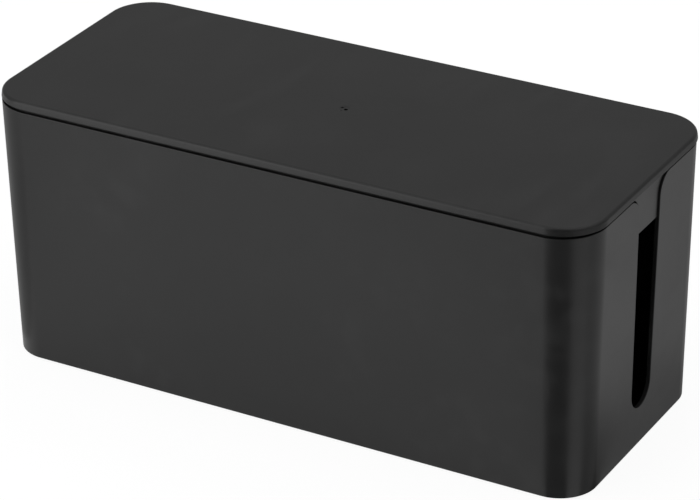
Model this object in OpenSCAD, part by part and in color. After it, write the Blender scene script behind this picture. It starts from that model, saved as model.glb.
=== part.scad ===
// Cable management box: a deep moulded tub with a cable slot in each end wall, a loose lid whose
// end tabs close the mouths of the slots, and four stick-on rubber feet.
// The origin is at the centre of the footprint, on the surface that the feet stand on.
// +X runs along the box towards an end wall, +Y towards the back and +Z up.

/* [Box] */
// Length over the lid
box_l = 320; // [260:1:400]
// Width over the lid
box_w = 135; // [110:1:180]
// Height from the underside of the tub to the top of the lid
box_h = 140; // [100:1:180]
// Corner radius in plan, round the lid
corner_r = 22; // [16:0.5:30]
// Lean of every wall in towards the base, in degrees
draft = 1.1; // [0.4:0.1:1.6]

/* [Tub] */
// Thickness of the walls
wall_t = 2; // [1.6:0.1:2.8]
// Thickness of the floor
floor_t = 2.4; // [1.8:0.1:3.6]
// Radius inside the tub, between the floor and the walls
floor_r = 3; // [2:0.5:5]
// Radius outside the tub, between the underside and the walls
base_r = 0.5; // [0.3:0.1:1.4]
// Radius on the outer edge of the rim
rim_r = 0.4; // [0.2:0.1:0.5]
// Thickness of the tongue on the rim that carries the lid
tongue_t = 0.7; // [0.6:0.1:1.1]
// How far the tongue stands back from the inside of the walls
tongue_back = 0.1; // [0.1:0.1:0.3]

/* [Lid] */
// Thickness of the panel
lid_t = 2.2; // [1.6:0.1:3]
// Height of the edge round the panel
lid_edge_h = 3.8; // [3.4:0.1:7]
// Lean of that edge in towards the top, in degrees
lid_lean = 8; // [0:0.5:12]
// Radius on the upper outer edge
lid_top_r = 1.6; // [0.6:0.1:2.2]
// Radius on the lower outer edge
lid_lip_r = 0.4; // [0.2:0.1:0.6]
// Radius under the panel, between the panel and the skirt
lid_root_r = 1; // [0.5:0.1:1.5]
// How far the lid stands proud of the tub all round
lid_proud = 0.4; // [0:0.1:1]
// Height of the shadow gap between the lid's edge and the tub's rim
shadow_gap = 1.2; // [0.4:0.1:1.6]
// Depth of the skirt that keeps the lid in place inside the tub
skirt_h = 5; // [3:0.5:9]
// Thickness of the skirt
skirt_t = 1.6; // [1.2:0.1:2.4]
// Clearance between the skirt and the tub's walls
skirt_gap = 0.6; // [0.4:0.1:1]
// Share of the lid's side play that is taken up, where the loose lid lies towards the back
play_taken = 0.75; // [0:0.05:0.8]

/* [Cable slots] */
// Width of a slot at its round lower end
slot_w = 20.2; // [14:0.2:30]
// Lean of each side of a slot out towards the mouth, in degrees
slot_draft = 0.65; // [0:0.05:1.2]
// Height of a slot's lowest point above the underside of the tub
slot_low = 20.2; // [12:0.2:50]
// Radius of the shoulders where a slot widens to its mouth
shoulder_r = 10; // [5:0.5:13]
// Chamfer on the outer edges of a slot, and of the tab that closes its mouth
slot_edge = 0.3; // [0.2:0.1:0.6]

/* [Lid tabs] */
// How far a tab hangs below the tub's rim
tab_h = 20.2; // [14:0.1:30]
// How far a tab's face stands back from the face of the end wall
tab_recess = 1; // [0.4:0.1:1.6]
// Clearance between a tab and the sides of its slot
tab_gap = 0.6; // [0.4:0.1:1]
// Thickness of the two ribs behind a tab
rib_t = 1.2; // [0.8:0.1:2]
// How far the ribs stand out behind a tab
rib_h = 3; // [2:0.1:4]
// Distance between the two ribs
rib_pitch = 11; // [6:0.5:14]

/* [Feet] */
// Diameter of a foot
foot_d = 12; // [8:0.5:18]
// Thickness of a foot
foot_t = 1.8; // [1.4:0.1:2.2]
// How far a foot stands out of its seat
foot_proud = 1; // [0.6:0.1:1.2]
// Clearance round a foot in its seat
foot_gap = 0.3; // [0.1:0.1:0.6]
// Radius on the lower edge of a foot
foot_r = 0.5; // [0.2:0.1:0.6]

/* [Gate marks] */
// Diameter of the dimple where the moulding gate was
gate_d = 3; // [2:0.5:6]
// Depth of the dimple
gate_depth = 0.3; // [0.2:0.1:0.6]
// Diameter of the gate's stub in the dimple
stub_d = 1; // [0.6:0.1:1.5]

/* [Hidden] */
$fn = 96;

// The rim cuts the shoulders' arcs this far below their tops, so that they end in a crisp edge
shoulder_cut = 0.3;
// How far a cutter runs past what it cuts, and a joined piece into what carries it
over = 1;

plastic = [0.2, 0.2, 0.21];
rubber = [0.09, 0.09, 0.09];

// Heights
base_z = foot_proud;
floor_z = base_z + floor_t;
top_z = base_z + box_h;
seat_z = top_z - lid_edge_h;
rim_z = seat_z - shadow_gap;
panel_z = top_z - lid_t;
skirt_z = seat_z - skirt_h;

// Centres of the four corners in plan, which the tub and the lid share
corner_x = box_l / 2 - corner_r;
corner_y = box_w / 2 - corner_r;

// Slot and tab, in the plane of the end wall, measured from the middle of the rim
shoulder_y = shoulder_cut - shoulder_r;
slot_y = base_z + slot_low + slot_w / 2 - rim_z;
side_rise = shoulder_y - slot_y;
shoulder_x = (slot_w / 2 + shoulder_r + side_rise * sin(slot_draft)) / cos(slot_draft);
side_l = side_rise * cos(slot_draft) + shoulder_x * sin(slot_draft);
tab_shoulder_r = shoulder_r + tab_gap;
tab_mouth = shoulder_x - sqrt(pow(tab_shoulder_r, 2) - pow(shoulder_y, 2));
tab_face = -tab_recess;
tab_back = tab_face - wall_t;

lid_shift = play_taken * min(skirt_gap, tab_gap);

// Distances out from a corner's centre to the drafted faces, at height z
function lean(z) = (rim_z - z) * tan(draft);
function tub_out(z) = corner_r - lid_proud - lean(z);
function tub_in(z) = tub_out(z) - wall_t;
function skirt_out(z) = tub_in(z) - skirt_gap;
function skirt_in(z) = skirt_out(z) - skirt_t;

function unit(v) = v / norm(v);
function half_angle(a, b, c) = acos(unit(a - b) * unit(c - b)) / 2;
function cut_back(a, b, c, r) = b + unit(a - b) * r / tan(half_angle(a, b, c));
function arc_centre(a, b, c, r) = b + unit(unit(a - b) + unit(c - b)) * r / sin(half_angle(a, b, c));

// A convex outline whose corners are rounded to the radii given, 0 for a sharp one
module rounded(points, radii) {
    n = len(points);
    before = function(i) points[(i + n - 1) % n];
    after = function(i) points[(i + 1) % n];
    polygon([
        for (i = [0 : n - 1])
            each radii[i] == 0
                ? [points[i]]
                : [
                    cut_back(before(i), points[i], after(i), radii[i]),
                    cut_back(after(i), points[i], before(i), radii[i]),
                ],
    ]);
    for (i = [0 : n - 1])
        if (radii[i] > 0)
            translate(arc_centre(before(i), points[i], after(i), radii[i]))
                circle(radii[i]);
}

// Carries a profile round the plan: its x runs out from the corners' centres and its y runs up
module swept() {
    for (turn = [0, 180])
        rotate([0, 0, turn]) {
            translate([corner_x, corner_y, 0])
                rotate_extrude(angle = 90)
                    children();
            translate([-corner_x, corner_y, 0])
                rotate([0, 0, 90])
                    rotate_extrude(angle = 90)
                        children();
            translate([corner_x, corner_y, 0])
                rotate([90, 0, 0])
                    linear_extrude(2 * corner_y)
                        children();
            translate([-corner_x, corner_y, 0])
                rotate([90, 0, 90])
                    linear_extrude(2 * corner_x)
                        children();
        }
}

// The flat sheet inside the corners' centres
module sheet(z, thickness) {
    translate([-corner_x, -corner_y, z])
        cube([2 * corner_x, 2 * corner_y, thickness]);
}

module at_both_ends() {
    for (turn = [0, 180])
        rotate([0, 0, turn])
            children();
}

// The plane of an end wall: x across it, y up along it from the rim, z outwards
module on_end_wall() {
    translate([corner_x + tub_out(rim_z), 0, rim_z])
        rotate([0, draft, 0])
            rotate([90, 0, 90])
                children();
}

// The centre of each shoulder, with y up along that side of the slot and x away from the slot
module at_both_shoulders() {
    for (side = [0, 1])
        mirror([side, 0, 0])
            translate([shoulder_x, shoulder_y, 0])
                rotate([0, 0, -slot_draft])
                    children();
}

// The form between a slot's two sides, from the middle of its round end up past the rim, between
// depths z0 and z1. Its sides stand clear of the shoulders' centres by r0 at z0 and by r1 at z1.
module slot_form(z0, z1, r0, r1) {
    depth = z1 - z0;
    reach = shoulder_x + over;
    at_both_shoulders() {
        difference() {
            translate([-reach, 0, z0])
                cube([reach, shadow_gap + over - shoulder_y, depth]);
            translate([0, 0, z0])
                cylinder(h = depth, r1 = r0, r2 = r1);
        }
        translate([0, over, 0])
            rotate([90, 0, 0])
                linear_extrude(side_l + over)
                    polygon([[-reach, z0], [-r0, z0], [-r1, z1], [-reach, z1]]);
    }
}

module slot_cut() {
    inside = -wall_t - over;
    outside = slot_edge;
    slot_form(inside, outside, shoulder_r, shoulder_r);
    slot_form(-slot_edge, outside, shoulder_r, shoulder_r - 2 * slot_edge);
    translate([0, slot_y, inside])
        cylinder(h = outside - inside, d = slot_w);
    translate([0, slot_y, -slot_edge])
        cylinder(h = 2 * slot_edge, d1 = slot_w, d2 = slot_w + 4 * slot_edge);
}

// A dimple with the gate's stub in it, cut into a face that looks up
module gate_mark() {
    difference() {
        translate([0, 0, -gate_depth])
            cylinder(h = gate_depth + over, d1 = gate_d - gate_depth, d2 = gate_d + 2 * over);
        translate([0, 0, -gate_depth - over])
            cylinder(h = over + gate_depth / 2, d = stub_d);
    }
}

module tub_profile() {
    above = rim_z + over;
    difference() {
        rounded(
            [[0, base_z], [tub_out(base_z), base_z], [tub_out(rim_z), rim_z], [0, rim_z]],
            [0, base_r, rim_r, 0]
        );
        rounded(
            [[0, floor_z], [tub_in(floor_z), floor_z], [tub_in(above), above], [0, above]],
            [0, floor_r, 0, 0]
        );
    }
}

module tub_shell() {
    swept()
        tub_profile();
    sheet(base_z, floor_t);
}

// The tongue stands on the inner half of the rim, and stops short of the slots' mouths
module tongue() {
    root_z = rim_z - over;
    inner = tub_in(rim_z) + tongue_back;
    difference() {
        swept()
            polygon([
                [inner, root_z],
                [inner + tongue_t, root_z],
                [inner + tongue_t, seat_z],
                [inner, seat_z],
            ]);
        translate([-box_l / 2, -shoulder_x, root_z - over])
            cube([box_l, 2 * shoulder_x, 2 * over + seat_z - root_z]);
    }
}

module foot_seats() {
    seat_h = foot_t - foot_proud;
    for (x = [-corner_x, corner_x], y = [-corner_y, corner_y])
        translate([x, y, base_z - over])
            cylinder(h = over + seat_h, d = foot_d + 2 * foot_gap);
}

module tub() {
    color(plastic)
        difference() {
            union() {
                difference() {
                    tub_shell();
                    at_both_ends()
                        on_end_wall()
                            slot_cut();
                }
                tongue();
            }
            foot_seats();
            translate([0, 0, base_z])
                rotate([180, 0, 0])
                    gate_mark();
        }
}

module lid_profile() {
    under = skirt_z - over;
    top_out = corner_r - lid_edge_h * tan(lid_lean);
    difference() {
        union() {
            rounded(
                [[0, seat_z], [corner_r, seat_z], [top_out, top_z], [0, top_z]],
                [0, lid_lip_r, lid_top_r, 0]
            );
            polygon([
                [0, skirt_z],
                [skirt_out(skirt_z), skirt_z],
                [skirt_out(panel_z), panel_z],
                [0, panel_z],
            ]);
        }
        rounded(
            [[0, under], [skirt_in(under), under], [skirt_in(panel_z), panel_z], [0, panel_z]],
            [0, 0, lid_root_r, 0]
        );
    }
}

// A tab fills the mouth of a slot, set back from the end wall, and two ribs tie it to the panel
module tab() {
    depth = tab_face - tab_back;
    bevel_in = tab_shoulder_r + slot_edge - depth;
    bevel_out = tab_shoulder_r + slot_edge;
    back_x = corner_x + tub_out(rim_z) + tab_back;
    rib_top = panel_z + lid_t / 2;
    rib_foot = rim_z - tab_h + wall_t;
    on_end_wall()
        intersection() {
            translate([-tab_mouth, -tab_h, tab_back])
                cube([2 * tab_mouth, tab_h + shadow_gap + over, depth]);
            slot_form(tab_back, tab_face, tab_shoulder_r, tab_shoulder_r);
            slot_form(tab_back, tab_face, bevel_in, bevel_out);
        }
    for (side = [-1, 1])
        translate([0, (side * rib_pitch + rib_t) / 2, 0])
            rotate([90, 0, 0])
                linear_extrude(rib_t)
                    polygon([
                        [back_x - rib_h, skirt_z],
                        [back_x - rib_h, rib_top],
                        [back_x + wall_t / 2, rib_top],
                        [back_x + wall_t / 2 - lean(rib_foot), rib_foot],
                        [back_x - lean(rib_foot), rib_foot],
                    ]);
}

module lid() {
    color(plastic)
        translate([0, lid_shift, 0])
            difference() {
                union() {
                    swept()
                        lid_profile();
                    sheet(panel_z, lid_t);
                    at_both_ends()
                        tab();
                }
                translate([0, 0, top_z])
                    gate_mark();
            }
}

// A stick-on foot, at the corner's centre on the side given
module foot(side_x, side_y) {
    color(rubber)
        translate([side_x * corner_x, side_y * corner_y, 0])
            rotate_extrude()
                rounded([[0, 0], [foot_d / 2, 0], [foot_d / 2, foot_t], [0, foot_t]], [0, foot_r, 0, 0]);
}

tub();
lid();
foot(-1, -1);  // foot_front_left
foot(1, -1);  // foot_front_right
foot(-1, 1);  // foot_rear_left
foot(1, 1);  // foot_rear_right
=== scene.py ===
"""Looks of a cable management box: a deep moulded tub, a loose lid with end tabs, and rubber feet.

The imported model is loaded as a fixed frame. The tub and the lid are modelled here with finer curves
and rounded edges, in the places of their nodes, and every piece gets its finish. All sizes are in
metres, with +X along the box, +Y towards its back and +Z up from the surface that it stands on.
"""

from __future__ import annotations

import logging
import math
from collections.abc import Callable, Iterator
from contextlib import contextmanager
from dataclasses import dataclass, field
from enum import Enum

import bmesh
import bpy
from mathutils import Matrix, Vector

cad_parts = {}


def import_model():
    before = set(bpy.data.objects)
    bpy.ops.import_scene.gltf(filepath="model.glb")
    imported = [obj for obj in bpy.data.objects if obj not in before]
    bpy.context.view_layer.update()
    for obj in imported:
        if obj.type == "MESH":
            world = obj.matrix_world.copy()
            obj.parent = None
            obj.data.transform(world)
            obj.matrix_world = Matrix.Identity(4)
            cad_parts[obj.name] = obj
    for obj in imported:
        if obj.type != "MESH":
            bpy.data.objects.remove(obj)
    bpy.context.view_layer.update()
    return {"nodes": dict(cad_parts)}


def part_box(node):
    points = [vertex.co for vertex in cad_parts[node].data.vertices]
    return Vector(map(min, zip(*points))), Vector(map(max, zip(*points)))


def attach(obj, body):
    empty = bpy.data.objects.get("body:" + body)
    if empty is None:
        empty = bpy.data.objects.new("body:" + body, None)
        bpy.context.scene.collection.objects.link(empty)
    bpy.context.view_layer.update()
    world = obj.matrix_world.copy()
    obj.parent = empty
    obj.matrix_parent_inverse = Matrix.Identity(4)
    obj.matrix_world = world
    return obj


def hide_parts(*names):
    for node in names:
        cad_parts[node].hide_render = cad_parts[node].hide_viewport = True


log = logging.getLogger("cable_box")

Pair = tuple[float, float]
Triple = tuple[float, float, float]
PointTest = Callable[[Vector], bool]
PairTest = Callable[[Vector, Vector], bool]

MM = 0.001
MERGE_GAP = 0.001 * MM
ARC_PROFILE = 0.5  # a bevel's profile for a circular arc
LEVEL = 0.99  # a level face's normal points up or down by more than this
CREASE_DEG = 38.0  # sharper edges stay sharp
WIDEST_FIRST = 100  # the weight at which large faces set the normals
WHITE = (1.0, 1.0, 1.0, 1.0)
FLOAT = "NodeSocketFloat"
VECTOR = "NodeSocketVector"


class Node(str, Enum):
    """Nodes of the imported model."""

    TUB = "tub"
    LID = "lid"
    FOOT_FRONT_LEFT = "foot_front_left"
    FOOT_FRONT_RIGHT = "foot_front_right"
    FOOT_REAR_LEFT = "foot_rear_left"
    FOOT_REAR_RIGHT = "foot_rear_right"


FEET = (Node.FOOT_FRONT_LEFT, Node.FOOT_FRONT_RIGHT, Node.FOOT_REAR_LEFT, Node.FOOT_REAR_RIGHT)


class Body(str, Enum):
    """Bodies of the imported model."""

    TUB = "tub"
    LID = "lid"


class Slot(str, Enum):
    """Material slots of the record."""

    TUB = "tub_plastic"
    LID = "lid_plastic"
    FOOT = "foot_rubber"


class Part(str, Enum):
    """Mesh elements that can be picked."""

    POINT = "VERT"
    EDGE = "EDGE"
    FACE = "FACE"


class Join(str, Enum):
    """Ways in which one piece changes another."""

    ADD = "UNION"
    CUT = "DIFFERENCE"


def near(a: float, b: float, within: float = 0.02 * MM) -> bool:
    """Tells whether two lengths are the same, to within a small tolerance."""
    return abs(a - b) < within


def level_at(z: float) -> PairTest:
    """Gives the test that an edge passes when both its ends lie at a height."""
    return lambda a, b: near(a.z, z) and near(b.z, z)


def way_to(azimuth: float, elevation: float) -> Vector:
    """Gives the unit vector from the box towards a place round it.

    Args:
        azimuth: The angle from the front towards +X.
        elevation: The angle above the floor.

    Returns:
        The vector.
    """
    flat = math.cos(elevation)
    return Vector((math.sin(azimuth) * flat, -math.cos(azimuth) * flat, math.sin(elevation)))


def clear_selection() -> None:
    """Deselects every object, so that the next operator acts on nothing else."""
    bpy.ops.object.select_all(action="DESELECT")


class Workpiece:
    """A mesh that is shaped with edit-mode operators, as by hand."""

    def __init__(self, obj: bpy.types.Object, name: str) -> None:
        """Takes an object onto the bench.

        Args:
            obj: The mesh object, as an operator has just added it.
            name: The object's new name.
        """
        self.obj = obj
        self.obj.name = name
        self.obj.data.name = name
        self.settle()

    @classmethod
    def sheet(cls, name: str, low: Pair, high: Pair, z: float = 0.0) -> Workpiece:
        """Adds a flat rectangular face that looks up.

        Args:
            name: The piece's name.
            low: Its lowest x and y.
            high: Its highest x and y.
            z: Its height.

        Returns:
            The new workpiece.
        """
        clear_selection()
        centre = ((low[0] + high[0]) / 2, (low[1] + high[1]) / 2, z)
        bpy.ops.mesh.primitive_plane_add(size=1.0, location=centre)
        obj = bpy.context.active_object
        obj.scale = (high[0] - low[0], high[1] - low[1], 1.0)
        return cls(obj, name)

    @classmethod
    def block(cls, name: str, low: Triple, high: Triple) -> Workpiece:
        """Adds a block between two corners.

        Args:
            name: The piece's name.
            low: Its lowest corner.
            high: Its highest corner.

        Returns:
            The new workpiece.
        """
        clear_selection()
        bpy.ops.mesh.primitive_cube_add(size=1.0, location=[(a + b) / 2 for a, b in zip(low, high)])
        obj = bpy.context.active_object
        obj.scale = [b - a for a, b in zip(low, high)]
        return cls(obj, name)

    @classmethod
    def cone(cls, name: str, centre: Triple, radii: Pair, height: float, sides: int) -> Workpiece:
        """Adds a cone frustum or a cylinder that stands on its lower face.

        Args:
            name: The piece's name.
            centre: The centre of its lower face.
            radii: Its radius at the bottom and at the top.
            height: Its height.
            sides: How many sides it has.

        Returns:
            The new workpiece.
        """
        clear_selection()
        bpy.ops.mesh.primitive_cone_add(
            vertices=sides,
            radius1=radii[0],
            radius2=radii[1],
            depth=height,
            location=(centre[0], centre[1], centre[2] + height / 2),
        )
        return cls(bpy.context.active_object, name)

    def activate(self) -> None:
        """Makes this piece the only selected object and the active one."""
        clear_selection()
        self.obj.select_set(True)
        bpy.context.view_layer.objects.active = self.obj

    def settle(self) -> None:
        """Moves the object's place into its mesh, so that the object sits at the origin."""
        self.activate()
        bpy.ops.object.transform_apply(location=True, rotation=True, scale=True)

    @contextmanager
    def editing(self, part: Part, everything: bool = False) -> Iterator[None]:
        """Opens edit mode for one kind of element.

        Args:
            part: What is picked while it is open.
            everything: Whether the whole piece starts selected, and not nothing of it.

        Yields:
            Nothing; the operators act on this piece until the block ends.
        """
        self.activate()
        bpy.ops.object.mode_set(mode="EDIT")
        bpy.ops.mesh.select_mode(type=part.value)
        bpy.ops.mesh.select_all(action="SELECT" if everything else "DESELECT")
        try:
            yield
        finally:
            bpy.ops.object.mode_set(mode="OBJECT")

    def pick(self, kind: str, test: Callable[[object], bool]) -> None:
        """Selects, in edit mode, the elements of one kind that pass a test.

        Args:
            kind: The kind's name in the mesh: verts, edges or faces.
            test: Which of them to select.
        """
        mesh = bmesh.from_edit_mesh(self.obj.data)
        for element in getattr(mesh, kind):
            element.select_set(test(element))
        mesh.select_flush_mode()
        bmesh.update_edit_mesh(self.obj.data)

    def pick_points(self, test: PointTest) -> None:
        """Selects, in edit mode, the points whose place passes a test."""
        self.pick("verts", lambda point: test(point.co))

    def pick_edges(self, test: PairTest) -> None:
        """Selects, in edit mode, the edges whose two ends pass a test."""
        self.pick("edges", lambda edge: test(edge.verts[0].co, edge.verts[1].co))

    def pick_faces(self, test: PairTest) -> None:
        """Selects, in edit mode, the faces whose middle and normal pass a test."""
        self.pick("faces", lambda face: test(face.calc_center_median(), face.normal))

    def merge_points(self) -> None:
        """Merges, in edit mode, the points that lie at the same place."""
        bpy.ops.mesh.select_all(action="SELECT")
        bpy.ops.mesh.remove_doubles(threshold=MERGE_GAP)

    def round_corners(self, radius: float, segments: int, test: PointTest) -> None:
        """Rounds corners of a flat outline.

        Args:
            radius: How far along the sides each rounding reaches from its corner.
            segments: How many edges each arc gets.
            test: Which corners to round, by their place.
        """
        with self.editing(Part.POINT):
            self.pick_points(test)
            bpy.ops.mesh.bevel(offset=radius, segments=segments, profile=ARC_PROFILE, affect="VERTICES")
            self.merge_points()

    def round_edges(self, radius: float, segments: int, test: PairTest) -> None:
        """Rounds edges of a solid.

        Args:
            radius: How far the rounding reaches into the faces beside the edge.
            segments: How many faces it gets across.
            test: Which edges to round, by the places of their ends.
        """
        with self.editing(Part.EDGE):
            self.pick_edges(test)
            bpy.ops.mesh.bevel(offset=radius, segments=segments, profile=ARC_PROFILE, affect="EDGES")

    def step(self, inwards: float, along: float) -> None:
        """Insets the selected face and moves the new face along its normal, in face mode.

        Args:
            inwards: How far the outline moves in.
            along: How far the face moves along its normal.
        """
        bpy.ops.mesh.inset(thickness=inwards, depth=along, use_even_offset=True, use_boundary=True)

    def pull(self, way: Triple) -> None:
        """Extrudes what is selected by a vector."""
        bpy.ops.mesh.extrude_region_move(TRANSFORM_OT_translate={"value": way})

    def lower(self, drop: float) -> None:
        """Moves what is selected down."""
        bpy.ops.transform.translate(value=(0, 0, -drop))

    def flip(self) -> None:
        """Turns every face of the piece to look the other way."""
        with self.editing(Part.FACE, everything=True):
            bpy.ops.mesh.flip_normals()

    def tidy_normals(self) -> None:
        """Merges doubled points and turns every face to look outwards."""
        with self.editing(Part.FACE):
            self.merge_points()
            bpy.ops.mesh.normals_make_consistent(inside=False)

    def place(self, matrix: Matrix) -> None:
        """Moves the piece's mesh by a matrix."""
        self.obj.matrix_world = matrix
        self.settle()

    def copy(self, name: str) -> Workpiece:
        """Copies the piece with a mesh of its own.

        Args:
            name: The copy's name.

        Returns:
            The new workpiece.
        """
        self.activate()
        bpy.ops.object.duplicate(linked=False)
        return Workpiece(bpy.context.active_object, name)

    def absorb(self, other: Workpiece) -> None:
        """Joins another piece's faces to this piece's mesh as they are.

        Args:
            other: The other piece, which is used up.
        """
        self.activate()
        other.obj.select_set(True)
        bpy.ops.object.join()

    def combine(self, other: Workpiece, join: Join) -> None:
        """Adds or cuts another solid.

        Args:
            other: The other solid, which is used up.
            join: Whether it is added or cut away.
        """
        self.activate()
        modifier = self.obj.modifiers.new(join.name, "BOOLEAN")
        modifier.operation = join.value
        modifier.solver = "EXACT"
        modifier.object = other.obj
        bpy.ops.object.modifier_apply(modifier=modifier.name)
        bpy.data.objects.remove(other.obj)

    def finish(self, name: str) -> None:
        """Names the finished piece and shades it smooth between creases, with its large faces true.

        Args:
            name: The object's name.
        """
        self.obj.name = name
        self.activate()
        bpy.ops.object.shade_smooth_by_angle(angle=math.radians(CREASE_DEG))
        modifier = self.obj.modifiers.new("true_faces", "WEIGHTED_NORMAL")
        modifier.mode = "FACE_AREA"
        modifier.weight = WIDEST_FIRST
        modifier.keep_sharp = True
        bpy.ops.object.modifier_apply(modifier=modifier.name)


@dataclass(frozen=True)
class Fineness:
    """How many segments the round stretches get: a lip is a small rounding and a tip the smallest."""

    corner: int = 24
    shoulder: int = 20
    slot_end: int = 16
    floor: int = 6
    panel_edge: int = 8
    lip: int = 4
    tip: int = 2
    foot_seat: int = 48
    dip: int = 12


@dataclass
class BoxPlan:
    """The sizes that the tub and the lid share, taken from the frame where it gives them.

    Attributes:
        lid_low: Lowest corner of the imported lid's box.
        lid_high: Its highest corner.
        tub_low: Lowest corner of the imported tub's box.
        tub_high: Its highest corner.
        corner_r: Radius of the lid's corners, in plan.
        draft: Lean of the tub's walls.
        lid_proud: How far the lid's outline stands out past the tub's rim.
        lid_lean: Lean of the lid's edge.
        lip_r: Radius of the lid's lower edge.
        wall: Thickness of the tub's walls.
        slot_w: Width across a slot's round end.
        slot_draft: Lean of each side of a slot.
        slot_low: Height of a slot's lower end above the underside.
        shoulder_r: Radius of the shoulders where a slot's sides run out into the rim.
        shoulder_cut: How far above the rim the shoulders' arcs would end.
        seat_rise: How far the lid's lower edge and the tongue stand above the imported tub.
        shadow_gap: Gap between the rim and the lid at the end walls.
        over: How far a cutter reaches past what it cuts.
        fine: The segments of the round stretches.
    """

    lid_low: Vector
    lid_high: Vector
    tub_low: Vector
    tub_high: Vector
    corner_r: float = 22.0 * MM
    draft: float = math.radians(1.1)
    lid_proud: float = 0.4 * MM
    lid_lean: float = math.radians(8.0)
    lip_r: float = 0.18 * MM
    wall: float = 2.0 * MM
    slot_w: float = 20.2 * MM
    slot_draft: float = math.radians(0.65)
    slot_low: float = 20.2 * MM
    shoulder_r: float = 10.0 * MM
    shoulder_cut: float = 0.1 * MM
    seat_rise: float = 0.1 * MM
    shadow_gap: float = 0.85 * MM
    over: float = 1.0 * MM
    fine: Fineness = field(default_factory=Fineness)

    @classmethod
    def from_frame(cls) -> BoxPlan:
        """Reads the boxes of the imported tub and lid.

        Returns:
            The plan.
        """
        lid_low, lid_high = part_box(Node.LID.value)
        tub_low, tub_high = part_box(Node.TUB.value)
        return cls(lid_low=lid_low, lid_high=lid_high, tub_low=tub_low, tub_high=tub_high)

    @property
    def lip_back(self) -> float:
        """How far the rounded lip of the leaning edge stands back from where it would be sharp."""
        return self.lip_r * (math.tan(self.lid_lean) + 1 / math.cos(self.lid_lean) - 1)

    @property
    def half_x(self) -> float:
        """Half the length over the lid's lower edge, as if it were sharp."""
        return (self.lid_high.x - self.lid_low.x) / 2 + self.lip_back

    @property
    def half_y(self) -> float:
        """Half the width over the lid's lower edge, as if it were sharp."""
        return (self.lid_high.y - self.lid_low.y) / 2 + self.lip_back

    @property
    def corner_x(self) -> float:
        """Distance of the corners' centres from the middle, along the box."""
        return self.half_x - self.corner_r

    @property
    def corner_y(self) -> float:
        """Distance of the corners' centres from the middle, across the box."""
        return self.half_y - self.corner_r

    @property
    def lid_y(self) -> float:
        """Where the middle of the loose lid lies across the box."""
        return (self.lid_high.y + self.lid_low.y) / 2

    @property
    def seat_z(self) -> float:
        """Height of the lid's lower edge and of the tongue's top, which carries the lid."""
        return self.tub_high.z + self.seat_rise

    @property
    def rim_z(self) -> float:
        """Height of the tub's rim at the end walls."""
        return self.seat_z - self.shadow_gap

    @property
    def shoulder_x(self) -> float:
        """Distance of the shoulders' centres from the middle of a slot.

        Returns:
            The distance along the wall.
        """
        rise = self.shoulder_y - self.slot_y
        away = self.slot_w / 2 + self.shoulder_r + rise * math.sin(self.slot_draft)
        return away / math.cos(self.slot_draft)

    @property
    def shoulder_y(self) -> float:
        """Height of the shoulders' centres above the rim."""
        return self.shoulder_cut - self.shoulder_r

    @property
    def slot_y(self) -> float:
        """Height of the middle of a slot's round end above the rim."""
        return self.tub_low.z + self.slot_low + self.slot_w / 2 - self.rim_z

    def side_at(self, y: float, clear: float) -> float:
        """Works out where two lines along a slot's sides run.

        Args:
            y: The height above the rim.
            clear: How far the lines run from the shoulders' centres.

        Returns:
            Half the width between the lines.
        """
        spread = (y - self.shoulder_y) * math.tan(self.slot_draft)
        return self.shoulder_x - clear / math.cos(self.slot_draft) + spread

    def arc_reach(self, radius: float) -> float:
        """How far an arc reaches from the corner that it rounds, between a slot's side and a level line."""
        return radius * math.tan(math.pi / 4 - self.slot_draft / 2)

    def lean(self, z: float) -> float:
        """How far a drafted wall has leant in at a height, against the rim."""
        return (self.rim_z - z) * math.tan(self.draft)

    def past_corner(self, p: Vector) -> Pair:
        """How far a point lies past the rectangle that joins the corners' centres, along x and y."""
        return max(abs(p.x) - self.corner_x, 0.0), max(abs(p.y) - self.corner_y, 0.0)

    def outline(self, name: str, back: float, z: float) -> Workpiece:
        """Makes the round-cornered outline of the box as one face that looks up.

        Args:
            name: The piece's name.
            back: How far the outline stands back from the lid's outline.
            z: Its height.

        Returns:
            The new workpiece.
        """
        x, y = self.half_x - back, self.half_y - back
        piece = Workpiece.sheet(name, (-x, -y), (x, y), z)
        piece.round_corners(self.corner_r - back, self.fine.corner, lambda p: True)
        return piece

    def end_walls(self) -> list[Matrix]:
        """Gives the planes of the two end walls, with x across, y up from the rim and z outwards.

        Returns:
            The matrices of the right wall's plane and of the left one's.
        """
        lie = Matrix.Rotation(math.radians(90), 4, "Z") @ Matrix.Rotation(math.radians(90), 4, "X")
        tilt = Matrix.Rotation(self.draft, 4, "Y")
        out = Matrix.Translation((self.half_x - self.lid_proud, 0, self.rim_z))
        right = out @ tilt @ lie
        return [right, Matrix.Rotation(math.pi, 4, "Z") @ right]

    def flared(self, name: str, clear: float, low: float, reach: float) -> Workpiece:
        """Makes the outline of a slot or a tab: a stem that flares into its mouth over two shoulders.

        Args:
            name: The piece's name.
            clear: How far its sides run from the shoulders' centres, which is the arcs' radius.
            low: The stem's lower end.
            reach: Half the mouth's width.

        Returns:
            A flat face that looks up, with x across the wall and y up along it.
        """
        bar = self.shoulder_y + clear
        top = self.shadow_gap + self.over
        half = self.side_at(bar, clear)

        def beside_mouth(side: int) -> PairTest:
            """Gives the test for the mouth's upright edge on one side."""
            return lambda a, b: near(a.x, side * half) and near(b.x, side * half) and (a.y + b.y) / 2 > bar

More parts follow.
